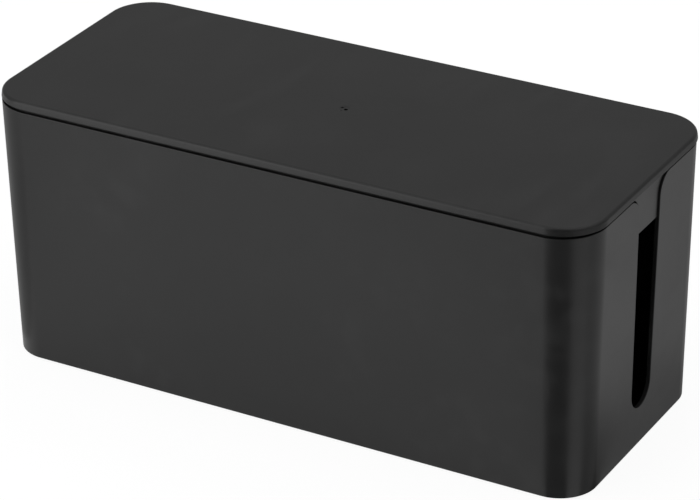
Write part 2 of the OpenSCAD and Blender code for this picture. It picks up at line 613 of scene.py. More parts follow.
        piece = Workpiece.sheet(name, (-half, low), (half, bar))
        with piece.editing(Part.POINT):
            piece.pick_points(lambda p: near(p.y, low))
            bpy.ops.transform.resize(value=(self.side_at(low, clear) / half, 1, 1))
        with piece.editing(Part.EDGE):
            piece.pick_edges(lambda a, b: near(a.y, bar) and near(b.y, bar))
            piece.pull((0, top - bar, 0))
            for side in (-1, 1):
                bpy.ops.mesh.select_all(action="DESELECT")
                piece.pick_edges(beside_mouth(side))
                piece.pull((side * (self.shoulder_x - half + self.over), 0, 0))
            bpy.ops.mesh.select_mode(type=Part.FACE.value)
            bpy.ops.mesh.select_all(action="SELECT")
            bpy.ops.mesh.dissolve_faces()
        arc = self.arc_reach(clear)
        piece.round_corners(arc, self.fine.shoulder, lambda p: near(abs(p.x), half) and near(p.y, bar))
        for side in (-1, 1):
            with piece.editing(Part.FACE, everything=True):
                bpy.ops.mesh.bisect(plane_co=(side * reach, 0, 0), plane_no=(side, 0, 0), clear_outer=True)
        return piece


@dataclass
class Tub:
    """The deep moulded box with a round-ended cable slot in each end wall.

    Attributes:
        plan: The sizes that it shares with the lid.
        floor: Thickness of the floor.
        floor_r: Inner radius between the floor and the walls.
        base_r: Radius of the lower outer edge.
        rim_r: Radius of the rim's outer edge.
        rim_dip: How much lower the rim is along the long walls than at the ends.
        rim_slope: How far the rim's top falls from its outer edge to its inner one.
        tongue: Thickness of the tongue that stands on the rim.
        tongue_r: Radius of the tongue's upper edges.
        edge_r: Size of the rounding along a slot's outer edge.
        edge_lift: How far above the wall's face that rounding starts.
        edge_turn: The rounding's steps, inwards and along, as shares of its size.
        foot_d: Width of a foot's seat.
        foot_seat: Depth of a foot's seat.
    """

    plan: BoxPlan
    floor: float = 2.4 * MM
    floor_r: float = 3.0 * MM
    base_r: float = 0.5 * MM
    rim_r: float = 0.3 * MM
    rim_dip: float = 0.8 * MM
    rim_slope: float = 1.0 * MM
    tongue: float = 0.4 * MM
    tongue_r: float = 0.1 * MM
    edge_r: float = 0.25 * MM
    edge_lift: float = 0.025 * MM
    edge_turn: tuple[Pair, ...] = ((0.75, 0.2), (0.375, 0.3), (0.25, 0.3), (0.125, 0.4))
    foot_d: float = 12.6 * MM
    foot_seat: float = 0.8 * MM

    @property
    def base_z(self) -> float:
        """Height of the underside."""
        return self.plan.tub_low.z

    @property
    def floor_z(self) -> float:
        """Height of the floor's top."""
        return self.base_z + self.floor

    def turn_of(self, p: Vector) -> float:
        """How far a point has turned from an end wall, at 0, towards a long wall, at a right angle."""
        x, y = self.plan.past_corner(p)
        return math.atan2(y, x)

    def from_corner(self, p: Vector) -> float:
        """Distance of a point from the rectangle that joins the corners' centres, in plan."""
        return math.hypot(*self.plan.past_corner(p))

    def outermost(self, p: Vector) -> bool:
        """Tells whether a point of the rim is on its outer edge."""
        return self.from_corner(p) > self.plan.corner_r - self.plan.lid_proud - self.plan.wall / 2

    def along_ring(self, a: Vector, b: Vector) -> bool:
        """Tells whether an edge runs round the box and not across the tongue."""
        return near(self.from_corner(a), self.from_corner(b), self.tongue / 2)

    def cup(self, name: str, back: float, low: float) -> Workpiece:
        """Models a drafted cup that is open at the rim and looks outwards.

        Args:
            name: The piece's name.
            back: How far its rim stands back from the lid's outline.
            low: The height of its bottom.

        Returns:
            The new workpiece.
        """
        plan = self.plan
        cup = plan.outline(name, back, plan.rim_z)
        cup.flip()
        with cup.editing(Part.FACE, everything=True):
            cup.step(plan.lean(low), plan.rim_z - low)
        return cup

    def shell(self) -> Workpiece:
        """Models the drafted walls and the floor, open at the top.

        Returns:
            The new workpiece.
        """
        plan = self.plan
        outer = self.cup("tub_outer", plan.lid_proud, self.base_z)
        inner = self.cup("tub_inner", plan.lid_proud + plan.wall, self.floor_z)
        inner.flip()
        outer.absorb(inner)
        with outer.editing(Part.EDGE):
            bpy.ops.mesh.select_non_manifold()
            bpy.ops.mesh.bridge_edge_loops()
        outer.tidy_normals()
        rim = level_at(plan.rim_z)
        outer.round_edges(
            self.rim_r, plan.fine.lip, lambda a, b: rim(a, b) and self.outermost(a) and self.outermost(b)
        )
        outer.round_edges(self.base_r, plan.fine.lip, level_at(self.base_z))
        outer.round_edges(self.floor_r, plan.fine.floor, level_at(self.floor_z))
        with outer.editing(Part.POINT):
            outer.pick_points(lambda p: near(p.z, plan.rim_z) and not self.outermost(p))
            outer.lower(self.rim_slope)
        self.dip_rim(outer)
        return outer

    def dip_rim(self, shell: Workpiece) -> None:
        """Lowers the rim of the long walls a little, easing it in round the corners.

        Args:
            shell: The tub's shell, whose only points near the rim are the rim's own.
        """
        steps = self.plan.fine.dip
        near_rim = self.plan.rim_z - 2 * self.plan.wall
        for step in range(steps):
            turn = math.radians(90) * (step + 0.5) / steps
            with shell.editing(Part.POINT):
                shell.pick_points(lambda p, turn=turn: p.z > near_rim and self.turn_of(p) > turn)
                shell.lower(self.rim_dip / steps)

    def slot_cutter(self) -> Workpiece:
        """Models what is cut out of an end wall for a slot, in the wall's plane.

        Returns:
            The cutter.
        """
        plan = self.plan
        grown = self.edge_r * sum(inwards for inwards, _ in self.edge_turn)
        end_r = plan.slot_w / 2 + grown
        low = plan.slot_y - end_r
        cutter = plan.flared("slot_cutter", plan.shoulder_r - grown, low, plan.shoulder_x)
        cutter.round_corners(plan.arc_reach(end_r), plan.fine.slot_end, lambda p: near(p.y, low))
        cutter.place(Matrix.Translation((0, 0, plan.over)))
        cutter.flip()
        with cutter.editing(Part.FACE, everything=True):
            cutter.pull((0, 0, self.edge_lift - plan.over))
            for inwards, along in self.edge_turn:
                cutter.step(inwards * self.edge_r, along * self.edge_r)
            cutter.pull((0, 0, -plan.wall - plan.over))
        cutter.tidy_normals()
        return cutter

    def tongue_ring(self) -> Workpiece:
        """Models the tongue that stands on the inner edge of the rim and stops short of the slots.

        Returns:
            The new workpiece, which reaches down into the walls.
        """
        plan = self.plan
        root_z = plan.rim_z - self.rim_dip - self.rim_slope - plan.over
        ring = plan.outline("tongue", plan.lid_proud + plan.wall - self.tongue, root_z)
        with ring.editing(Part.FACE, everything=True):
            ring.step(self.tongue, 0)
            bpy.ops.mesh.delete(type="FACE")
            bpy.ops.mesh.select_all(action="SELECT")
            ring.pull((0, 0, plan.seat_z - root_z))
        ring.tidy_normals()
        top = level_at(plan.seat_z)
        ring.round_edges(self.tongue_r, plan.fine.tip, lambda a, b: top(a, b) and self.along_ring(a, b))
        x, y = plan.half_x, plan.shoulder_x
        low = (-x, -y, root_z - plan.over)
        high = (x, y, plan.seat_z + plan.over)
        ring.combine(Workpiece.block("tongue_gap", low, high), Join.CUT)
        return ring

    def underside_cutters(self) -> list[Workpiece]:
        """Models what is cut out of the underside.

        Returns:
            The cutters of the four round seats and of the gate's mark.
        """
        plan = self.plan
        height = plan.over + self.foot_seat
        radii = (self.foot_d / 2, self.foot_d / 2)
        cutters = []
        for x in (-plan.corner_x, plan.corner_x):
            for y in (-plan.corner_y, plan.corner_y):
                low = (x, y, self.base_z - plan.over)
                cutters.append(Workpiece.cone("foot_seat", low, radii, height, plan.fine.foot_seat))
        mark = GateMark().cutter()
        mark.place(Matrix.Translation((0, 0, self.base_z)) @ Matrix.Rotation(math.pi, 4, "X"))
        return [*cutters, mark]

    def build(self) -> Workpiece:
        """Models the whole tub.

        Returns:
            The tub, as one closed mesh.
        """
        tub = self.shell()
        for piece in self.underside_cutters():
            tub.combine(piece, Join.CUT)
        cutter = self.slot_cutter()
        for matrix in self.plan.end_walls():
            slot = cutter.copy("slot")
            slot.place(matrix)
            tub.combine(slot, Join.CUT)
        bpy.data.objects.remove(cutter.obj)
        tub.combine(self.tongue_ring(), Join.ADD)
        tub.finish("tub_moulding")
        return tub


@dataclass(frozen=True)
class Dent:
    """A small round dent: its middle, its width and its depth."""

    x: float
    y: float
    width: float
    depth: float


@dataclass(frozen=True)
class GateMark:
    """The shallow dimple where the moulding gate was, with the torn gate's pit, nick and burr in it.

    Attributes:
        width: Width of the dimple.
        depth: Depth of its flat floor.
        slope: How far its side runs in for each unit of depth.
        pit: The torn gate's pit. Its depth counts from the face that the dimple is in.
        nick: The smaller nick beside it, with its depth as the pit's.
        burr_at: Middle of the burr that is left standing.
        burr_h: Height of the burr above the dimple's floor.
        burr_radii: The burr's radius at the foot of its cone and at its tip.
        over: How far the cutter reaches above the face, and the burr's cone below the dimple.
        sides: How many sides the dimple has.
    """

    width: float = 7.0 * MM
    depth: float = 0.35 * MM
    slope: float = 3.0
    pit: Dent = Dent(0.6 * MM, 0.0, 1.9 * MM, 1.5 * MM)
    nick: Dent = Dent(-1.7 * MM, 0.9 * MM, 1.7 * MM, 0.55 * MM)
    burr_at: Pair = (-1.0 * MM, -1.9 * MM)
    burr_h: float = 0.25 * MM
    burr_radii: Pair = (1.2 * MM, 0.15 * MM)
    over: float = 1.0 * MM
    sides: int = 48

    def cutter(self) -> Workpiece:
        """Models what is cut out of a face at the origin that looks up.

        Returns:
            The cutter.
        """
        half = self.width / 2
        radii = (half - self.depth * self.slope, half + self.over * self.slope)
        dimple = Workpiece.cone("gate_mark", (0, 0, -self.depth), radii, self.depth + self.over, self.sides)
        for dent in (self.pit, self.nick):
            low = (dent.x, dent.y, -dent.depth)
            halves = (dent.width / 2, dent.width / 2)
            dimple.combine(Workpiece.cone("gate_pit", low, halves, dent.depth, self.sides // 2), Join.ADD)
        foot = (*self.burr_at, -self.depth - self.over)
        burr = Workpiece.cone("gate_burr", foot, self.burr_radii, self.over + self.burr_h, self.sides // 2)
        dimple.combine(burr, Join.CUT)
        return dimple


@dataclass
class Lid:
    """The loose lid: a panel with a rounded edge, a skirt under it and a tab at each end.

    Attributes:
        plan: The sizes that it shares with the tub.
        panel: Thickness of the panel.
        top_r: Radius of the panel's upper edge.
        root_r: Inner radius between the panel and the skirt.
        skirt_h: How far the skirt reaches below the lid's lower edge.
        skirt: Thickness of the skirt.
        skirt_gap: Play between the skirt and the tub's inside.
        skirt_r: Radius of the skirt's lower edges.
        tab_h: How far a tab reaches below the rim.
        tab_recess: How far a tab stands back from the wall's face.
        tab_gap: Gap between a tab and the slot's shoulders.
        tab_r: Radius of a tab's outer edge.
        rib: Thickness of a rib behind a tab.
        rib_h: How far a rib stands behind its tab at the top.
        rib_pitch: Distance between a tab's two ribs.
        gate_at: Where the gate's mark lies on the top.
    """

    plan: BoxPlan
    panel: float = 2.2 * MM
    top_r: float = 1.6 * MM
    root_r: float = 1.0 * MM
    skirt_h: float = 5.0 * MM
    skirt: float = 1.6 * MM
    skirt_gap: float = 0.6 * MM
    skirt_r: float = 0.3 * MM
    tab_h: float = 20.65 * MM
    tab_recess: float = 1.0 * MM
    tab_gap: float = 0.6 * MM
    tab_r: float = 0.35 * MM
    rib: float = 1.2 * MM
    rib_h: float = 3.0 * MM
    rib_pitch: float = 11.0 * MM
    gate_at: Pair = (1.1 * MM, -1.4 * MM)

    @property
    def top_z(self) -> float:
        """Height of the lid's top."""
        return self.plan.lid_high.z

    @property
    def under_z(self) -> float:
        """Height of the panel's underside."""
        return self.top_z - self.panel

    @property
    def skirt_z(self) -> float:
        """Height of the skirt's lower edge."""
        return self.plan.seat_z - self.skirt_h

    @property
    def skirt_back(self) -> float:
        """How far the skirt's outside stands back from the lid's outline, at the seat."""
        plan = self.plan
        return plan.lid_proud + plan.wall + self.skirt_gap + plan.lean(plan.seat_z)

    def panel_and_skirt(self) -> Workpiece:
        """Models the panel, its rounded edge and the skirt.

        Returns:
            The new workpiece.
        """
        plan = self.plan
        seat, top = plan.seat_z, self.top_z
        piece = plan.outline("lid", 0.0, seat)
        with piece.editing(Part.FACE, everything=True):
            piece.step((top - seat) * math.tan(plan.lid_lean), top - seat)
        with piece.editing(Part.EDGE):
            bpy.ops.mesh.select_non_manifold()
            bpy.ops.mesh.edge_face_add()
        piece.tidy_normals()
        top_reach = self.top_r / math.tan(math.pi / 4 + plan.lid_lean / 2)
        lip_reach = plan.lip_r / math.tan(math.pi / 4 - plan.lid_lean / 2)
        piece.round_edges(top_reach, plan.fine.panel_edge, level_at(top))
        piece.round_edges(lip_reach, plan.fine.lip, level_at(seat))
        with piece.editing(Part.FACE):
            piece.pick_faces(lambda middle, normal: near(middle.z, seat) and normal.z < -LEVEL)
            piece.step(self.skirt_back - lip_reach, 0)
            piece.step(plan.lean(self.skirt_z) - plan.lean(seat), self.skirt_h)
            piece.step(self.skirt, 0)
            piece.step(0.0, self.skirt_z - self.under_z)
        piece.round_edges(self.root_r, plan.fine.lip, level_at(self.under_z))
        piece.round_edges(self.skirt_r, plan.fine.tip, level_at(self.skirt_z))
        return piece

    def tab(self) -> Workpiece:
        """Models the plate of a tab, in the plane of an end wall and set back from it.

        Returns:
            The new workpiece.
        """
        plan = self.plan
        clear = plan.shoulder_r + self.tab_gap
        reach = plan.shoulder_x - math.sqrt(clear**2 - plan.shoulder_y**2)
        plate = plan.flared("tab", clear, -self.tab_h, reach)
        with plate.editing(Part.FACE, everything=True):
            plate.pull((0, 0, -plan.wall))
        plate.tidy_normals()
        plate.round_edges(self.tab_r, plan.fine.lip, level_at(0.0))
        plate.place(Matrix.Translation((0, 0, -self.tab_recess)))
        return plate

    def tab_rib(self, side: int) -> Workpiece:
        """Models one of the two ribs behind a tab, at the right end.

        Args:
            side: -1 for the front one and 1 for the rear one.

        Returns:
            The new workpiece.
        """
        plan = self.plan
        back_x = plan.half_x - plan.lid_proud - self.tab_recess - plan.wall
        foot_z = plan.rim_z - self.tab_h + plan.wall
        foot_x = back_x - plan.lean(foot_z)
        y = side * self.rib_pitch / 2
        low = (back_x - self.rib_h, y - self.rib / 2, foot_z)
        high = (foot_x + plan.wall / 2, y + self.rib / 2, self.top_z - self.panel / 2)
        rib = Workpiece.block("tab_rib", low, high)
        slope = Vector((foot_z - self.skirt_z, 0, back_x - self.rib_h - foot_x)).normalized()
        with rib.editing(Part.FACE, everything=True):
            bpy.ops.mesh.bisect(plane_co=(foot_x, 0, foot_z), plane_no=slope, use_fill=True, clear_outer=True)
        return rib

    def build(self) -> Workpiece:
        """Models the whole lid.

        Returns:
            The lid, as one closed mesh.
        """
        lid = self.panel_and_skirt()
        plate = self.tab()
        for turn, matrix in enumerate(self.plan.end_walls()):
            tab = plate.copy("tab")
            tab.place(matrix)
            lid.combine(tab, Join.ADD)
            for side in (-1, 1):
                rib = self.tab_rib(side)
                rib.place(Matrix.Rotation(turn * math.pi, 4, "Z"))
                lid.combine(rib, Join.ADD)
        bpy.data.objects.remove(plate.obj)
        mark = GateMark().cutter()
        mark.place(Matrix.Translation((*self.gate_at, self.top_z)))
        lid.combine(mark, Join.CUT)
        lid.place(Matrix.Translation((0, self.plan.lid_y, 0)))
        lid.finish("lid_moulding")
        return lid


class Shader:
    """A node tree that is put together node by node."""

    def __init__(self, tree: bpy.types.NodeTree) -> None:
        """Takes a node tree and empties it."""
        self.tree = tree
        self.tree.nodes.clear()

    def add(
        self, kind: str, inputs: dict[str | int, object] | None = None, **settings: object
    ) -> bpy.types.Node:
        """Adds a node.

        Args:
            kind: The node's type.
            inputs: Values of its sockets, or output sockets that are linked to them.
            settings: Values of its own properties.

        Returns:
            The new node.
        """
        node = self.tree.nodes.new(kind)
        for name, value in settings.items():
            setattr(node, name, value)
        for name, value in (inputs or {}).items():
            if isinstance(value, bpy.types.NodeSocket):
                self.tree.links.new(value, node.inputs[name])
            else:
                node.inputs[name].default_value = value
        return node

    def calc(self, operation: str, first: object, second: object = 0.0) -> bpy.types.NodeSocket:
        """Adds a Math node and returns its result."""
        return self.add("ShaderNodeMath", {0: first, 1: second}, operation=operation).outputs[0]

    def vector(self, operation: str, first: object, second: object = (0, 0, 0)) -> bpy.types.NodeOutputs:
        """Adds a Vector Math node and returns its Vector and Value outputs."""
        return self.add("ShaderNodeVectorMath", {0: first, 1: second}, operation=operation).outputs

    def spread(
        self, value: object, low: float, high: float, to_low: float, to_high: float
    ) -> bpy.types.NodeSocket:
        """Maps a range of a value onto another one, smoothly and clamped, and returns the result."""
        inputs = {"Value": value, 1: low, 2: high, 3: to_low, 4: to_high}
        return self.add("ShaderNodeMapRange", inputs, interpolation_type="SMOOTHSTEP").outputs[0]

    def noise(self, vector: object, scale: object, detail: float, **more: float) -> bpy.types.NodeSocket:
        """Adds a noise texture and returns its value.

        Args:
            vector: Where it is read.
            scale: How many of its clouds lie along a metre.
            detail: How many finer layers it has.
            more: Values of its other sockets, such as Roughness.

        Returns:
            The noise, from 0 to 1.
        """
        inputs = {"Vector": vector, "Scale": scale, "Detail": detail, **more}
        return self.add("ShaderNodeTexNoise", inputs).outputs["Fac"]

    def effect(self, group: bpy.types.NodeTree, inputs: dict[str | int, object]) -> bpy.types.NodeSocket:
        """Places a shared effect with its own values and returns its result."""
        return self.add("ShaderNodeGroup", inputs, node_tree=group).outputs[0]

    def grey(self, tone: bpy.types.NodeSocket) -> bpy.types.NodeSocket:
        """Turns a tone into a neutral colour."""
        return self.add("ShaderNodeCombineColor", {"Red": tone, "Green": tone, "Blue": tone}).outputs[0]

    def glow(self, strength: object) -> bpy.types.NodeSocket:
        """Adds a white glow and returns its shader."""
        return self.add("ShaderNodeEmission", {"Color": WHITE, "Strength": strength}).outputs[0]

    def bump(self, height: object, depth: float, under: object = None) -> bpy.types.NodeSocket:
        """Bends the surface's normals by a height from 0 to 1.

        Args:
            height: The height.
            depth: What a height of 1 comes to.
            under: Normals that are bent already.

        Returns:
            The normals.
        """
        inputs = {"Height": height, "Distance": depth, "Strength": 1.0}
        if under is not None:
            inputs["Normal"] = under
        return self.add("ShaderNodeBump", inputs).outputs[0]


def new_material(name: str) -> tuple[bpy.types.Material, Shader]:
    """Makes an empty material.

    Args:
        name: Its name.

    Returns:
        The material and its node tree.
    """
    material = bpy.data.materials.new(name)
    material.use_nodes = True
    return material, Shader(material.node_tree)


def new_group(
    name: str, inputs: dict[str, tuple[str, object]], output: str
) -> tuple[bpy.types.NodeTree, Shader, bpy.types.NodeOutputs]:
    """Makes a shader node group with named sockets.

    Args:
        name: The group's name.
        inputs: For each input its socket type and its value.
        output: The name of what it puts out, which is a float.

    Returns:
        The group, its node tree to build in, and the sockets that give its inputs.
    """
    group = bpy.data.node_groups.new(name, "ShaderNodeTree")
    for socket, (kind, value) in inputs.items():
        made = group.interface.new_socket(socket, in_out="INPUT", socket_type=kind)
        if value is not None:
            made.default_value = value
    group.interface.new_socket(output, in_out="OUTPUT", socket_type=FLOAT)
    shader = Shader(group)
    return group, shader, shader.add("NodeGroupInput").outputs


@dataclass(frozen=True)
class SparkGrain:
    """The fine spark-eroded grain that a mould leaves on plastic.

    Attributes:
        cell: Size of its pits, unless a finish gives its own.
        pit_share: Share of the height that the pits make up; soft noise makes up the rest.
        soft_detail: Finer layers of that noise.
    """

    cell: float = 0.4 * MM
    pit_share: float = 0.5
    soft_detail: float = 2.0

    def build(self) -> bpy.types.NodeTree:
        """Makes the group, which gives a height from 0 to 1.

        Returns:
            The group.
        """
        inputs = {"Vector": (VECTOR, None), "Cell": (FLOAT, self.cell)}
        group, shader, given = new_group("spark_grain", inputs, "Height")
        scale = shader.calc("DIVIDE", 1.0, given["Cell"])
        cells = {"Vector": given["Vector"], "Scale": scale}
        pits = shader.add("ShaderNodeTexVoronoi", cells, feature="SMOOTH_F1").outputs["Distance"]
        soft = shader.noise(given["Vector"], scale, self.soft_detail)
        pitted = shader.calc("MULTIPLY", pits, self.pit_share)
        height = shader.calc("ADD", pitted, shader.calc("MULTIPLY", soft, 1 - self.pit_share))
        shader.add("NodeGroupOutput", {"Height": height})
        return group


@dataclass(frozen=True)
class FlowDrift:
    """The slow, cloudy change of tone that flowing plastic leaves.

    Attributes:
        size: Size of its clouds, unless a finish gives its own.
        detail: Finer layers of the clouds.
        roughness: How strong those are.
        distortion: How much the clouds are drawn out.
        edge: Where in the noise a cloud starts and where it is full.
    """

    size: float = 40 * MM
    detail: float = 3.0
    roughness: float = 0.55
    distortion: float = 0.6
    edge: Pair = (0.3, 0.7)

    def build(self) -> bpy.types.NodeTree:
        """Makes the group, which gives a drift from 0 to 1.

        Returns:
            The group.
        """
        inputs = {"Vector": (VECTOR, None), "Size": (FLOAT, self.size)}
        group, shader, given = new_group("flow_drift", inputs, "Drift")
        scale = shader.calc("DIVIDE", 1.0, given["Size"])
        more = {"Roughness": self.roughness, "Distortion": self.distortion}
        cloud = shader.noise(given["Vector"], scale, self.detail, **more)
        shader.add("NodeGroupOutput", {"Drift": shader.spread(cloud, *self.edge, 0.0, 1.0)})
        return group


@dataclass(frozen=True)
class HandSmudges:
    """The slanting streaks that hands leave on a wall.

    Attributes:
        width: Width of a streak.
        slant_deg: How the streaks are turned about x, y and z.
        stretch: Their scale along x, y and z, where less is longer.
        streak_detail: Finer layers of the streaks.
        streak_edge: Where in the noise a streak starts and where it is full.
        patch_scale: Scale of the patches that hold streaks, against the streaks'.
        patch_detail: Finer layers of the patches.
        patch_edge: Where in the noise a patch starts and where it is full.
        strength: The mask inside a full streak in a full patch.
    """

    width: float = 12 * MM
    slant_deg: Triple = (-38.0, 0.0, 12.0)
    stretch: Triple = (1.0, 0.28, 1.0)
    streak_detail: float = 1.5
    streak_edge: Pair = (0.42, 0.7)
    patch_scale: float = 0.18
    patch_detail: float = 1.0
    patch_edge: Pair = (0.4, 0.6)
    strength: float = 0.78

    def build(self) -> bpy.types.NodeTree:
        """Makes the group, which gives a mask from 0 to its strength.

        Returns:
            The group.
        """
        inputs = {"Vector": (VECTOR, None), "Width": (FLOAT, self.width)}
        group, shader, given = new_group("hand_smudges", inputs, "Mask")
        slant = tuple(map(math.radians, self.slant_deg))
        turned = {"Vector": given["Vector"], "Rotation": slant, "Scale": self.stretch}
        slanted = shader.add("ShaderNodeMapping", turned).outputs[0]
        scale = shader.calc("DIVIDE", 1.0, given["Width"])
        streaks = shader.noise(slanted, scale, self.streak_detail)
        patch_scale = shader.calc("MULTIPLY", scale, self.patch_scale)
        patches = shader.noise(given["Vector"], patch_scale, self.patch_detail)
        streaked = shader.spread(streaks, *self.streak_edge, 0.0, 1.0)
        both = shader.calc("MULTIPLY", streaked, shader.spread(patches, *self.patch_edge, 0.0, 1.0))
        shader.add("NodeGroupOutput", {"Mask": shader.calc("MULTIPLY", both, self.strength)})
        return group


@dataclass(frozen=True)
class Effects:
    """The node groups that the finishes share."""

    grain: bpy.types.NodeTree
    drift: bpy.types.NodeTree
    smudges: bpy.types.NodeTree

    @classmethod
    def build(cls) -> Effects:
        """Makes each group once."""
        return cls(grain=SparkGrain().build(), drift=FlowDrift().build(), smudges=HandSmudges().build())


@dataclass(frozen=True)
class MouldedPlastic:
    """Black moulded plastic with a fine grain, slow drifts of tone and light smudges.

    Attributes:
        name: The material's name.
        tone: Its colour's brightness.
        tone_drift: How far the drift takes the tone either way.
        smudge_tone: How much paler a full smudge is.
        roughness: Its roughness.
        roughness_drift: How far the drift takes the roughness either way.
        smudge_roughness: How much rougher a full smudge is.
        ior: Its index of refraction.
        specular: Level of its reflection.
        grain_cell: Size of the grain's pits.
        grain_depth: Depth of the grain.
        wave_size: Size of the slow waves in its face.
        wave_depth: Depth of the waves.
        seat: Where in the patterns the piece lies, so that no two pieces look the same.
    """

    name: str
    tone: float = 0.0066
    tone_drift: float = 0.0005
    smudge_tone: float = 0.005
    roughness: float = 0.34
    roughness_drift: float = 0.015
    smudge_roughness: float = 0.05
    ior: float = 1.5
    specular: float = 0.432
    grain_cell: float = 0.45 * MM
    grain_depth: float = 0.004 * MM
    wave_size: float = 60 * MM
    wave_depth: float = 0.05 * MM
    seat: Triple = (0.0, 0.0, 0.0)

    def build(self, effects: Effects) -> bpy.types.Material:
        """Makes the material.

        Args:
            effects: The shared node groups.

        Returns:
            The new material.
        """
        material, shader = new_material(self.name)
        place = shader.add("ShaderNodeTexCoord").outputs["Object"]
        here = shader.add("ShaderNodeMapping", {"Vector": place, "Location": self.seat}).outputs[0]
        drift = shader.effect(effects.drift, {"Vector": here})
        smudge = shader.effect(effects.smudges, {"Vector": here})
        grain = shader.effect(effects.grain, {"Vector": here, "Cell": self.grain_cell})
        wave = shader.effect(effects.drift, {"Vector": here, "Size": self.wave_size})

        def uneven(middle: float, by_drift: float, by_smudge: float) -> bpy.types.NodeSocket:
            """Lets the drift take a value either way and the smudges add to it."""
            drifted = shader.spread(drift, 0.0, 1.0, middle - by_drift, middle + by_drift)
            return shader.calc("ADD", drifted, shader.calc("MULTIPLY", smudge, by_smudge))

        surface = shader.add(
            "ShaderNodeBsdfPrincipled",
            {
                "Base Color": shader.grey(uneven(self.tone, self.tone_drift, self.smudge_tone)),
                "Roughness": uneven(self.roughness, self.roughness_drift, self.smudge_roughness),
                "Normal": shader.bump(grain, self.grain_depth, shader.bump(wave, self.wave_depth)),
                "IOR": self.ior,
                "Specular IOR Level": self.specular,
            },
        )
        shader.add("ShaderNodeOutputMaterial", {"Surface": surface.outputs[0]})
        return material


@dataclass(frozen=True)
class FootRubber:
    """Soft black rubber with a dry, slightly mottled face.

    Attributes:
        name: The material's name.
        tones: Its darkest and its palest tone.
        mottle: Heights of the grain between which the tone changes.
        roughness: Its roughness.
        grain_cell: Size of the grain's pits.
        grain_depth: Depth of the grain.
    """

    name: str = "foot_rubber"
    tones: Pair = (0.0084, 0.0168)
    mottle: Pair = (0.2, 0.8)
    roughness: float = 0.75
    grain_cell: float = 0.25 * MM
    grain_depth: float = 0.01 * MM

    def build(self, effects: Effects) -> bpy.types.Material:
        """Makes the material.

        Args:
            effects: The shared node groups.

        Returns:
            The new material.
        """
        material, shader = new_material(self.name)
        place = shader.add("ShaderNodeTexCoord").outputs["Object"]
        grain = shader.effect(effects.grain, {"Vector": place, "Cell": self.grain_cell})
        colour = shader.grey(shader.spread(grain, *self.mottle, *self.tones))
        bumps = shader.bump(grain, self.grain_depth)
        look = {"Base Color": colour, "Roughness": self.roughness, "Normal": bumps}
        surface = shader.add("ShaderNodeBsdfPrincipled", look)
        shader.add("ShaderNodeOutputMaterial", {"Surface": surface.outputs[0]})
        return material


@dataclass
class Camera:
    """The camera, by the way that it looks at the box.

    Attributes:
        azimuth_deg: Its angle from the front towards +X.
        elevation_deg: Its angle above the floor.
        roll_deg: How far it is turned about its line of sight.
        distance: How far it stands from its target.
        target: The place in the middle of its picture.
        focal_px: Its focal length, in pixels of the picture.
        frame_px: Width of the picture, in pixels.
        sensor_mm: Width of the sensor.
        clip: The nearest and the farthest distance that it shows.
    """

    azimuth_deg: float = 29.72
    elevation_deg: float = 27.46
    roll_deg: float = -0.826
    distance: float = 1.6612
    target: Vector = field(default_factory=lambda: Vector((0.00224, 0.0001, 0.06565)))
    focal_px: float = 3448.0
    frame_px: float = 700.0
    sensor_mm: float = 36.0
    clip: Pair = (0.05, 20.0)

    def build(self) -> None:
        """Adds the camera and makes it the scene's."""
        clear_selection()
        bpy.ops.object.camera_add()
        camera = bpy.context.active_object
        camera.name = "camera"
        azimuth, elevation, roll = map(math.radians, (self.azimuth_deg, self.elevation_deg, self.roll_deg))
        back = way_to(azimuth, elevation)
        level = Vector((math.cos(azimuth), math.sin(azimuth), 0.0))
        upright = back.cross(level)
        right = math.cos(roll) * level + math.sin(roll) * upright
        up = back.cross(right)
        turned = Matrix((right, up, back)).transposed().to_4x4()
        camera.matrix_world = Matrix.Translation(self.target + back * self.distance) @ turned
        camera.data.sensor_width = self.sensor_mm
        camera.data.lens = self.focal_px / self.frame_px * self.sensor_mm
        camera.data.clip_start, camera.data.clip_end = self.clip
        bpy.context.scene.camera = camera


@dataclass(frozen=True)
class Softbox:
    """An area lamp that looks at the foot of the box, and that no reflection shows.

    Attributes:
        name: The lamp's name.
        azimuth_deg: Its angle from the front towards +X.
        elevation_deg: Its angle above the floor.
        distance: How far it stands from the box.
        size: Its width and height.
        power: Its power in watts.
    """

    name: str
    azimuth_deg: float
    elevation_deg: float
    distance: float
    size: Pair
    power: float

    def build(self) -> None:
        """Adds the lamp."""
        away = way_to(math.radians(self.azimuth_deg), math.radians(self.elevation_deg))
        clear_selection()
        bpy.ops.object.light_add(type="AREA", location=away * self.distance)
        lamp = bpy.context.active_object
        lamp.name = self.name
        lamp.rotation_mode = "QUATERNION"
        lamp.rotation_quaternion = away.to_track_quat("Z", "Y")
        lamp.data.shape = "RECTANGLE"
        lamp.data.size, lamp.data.size_y = self.size
        lamp.data.energy = self.power
        lamp.visible_glossy = False


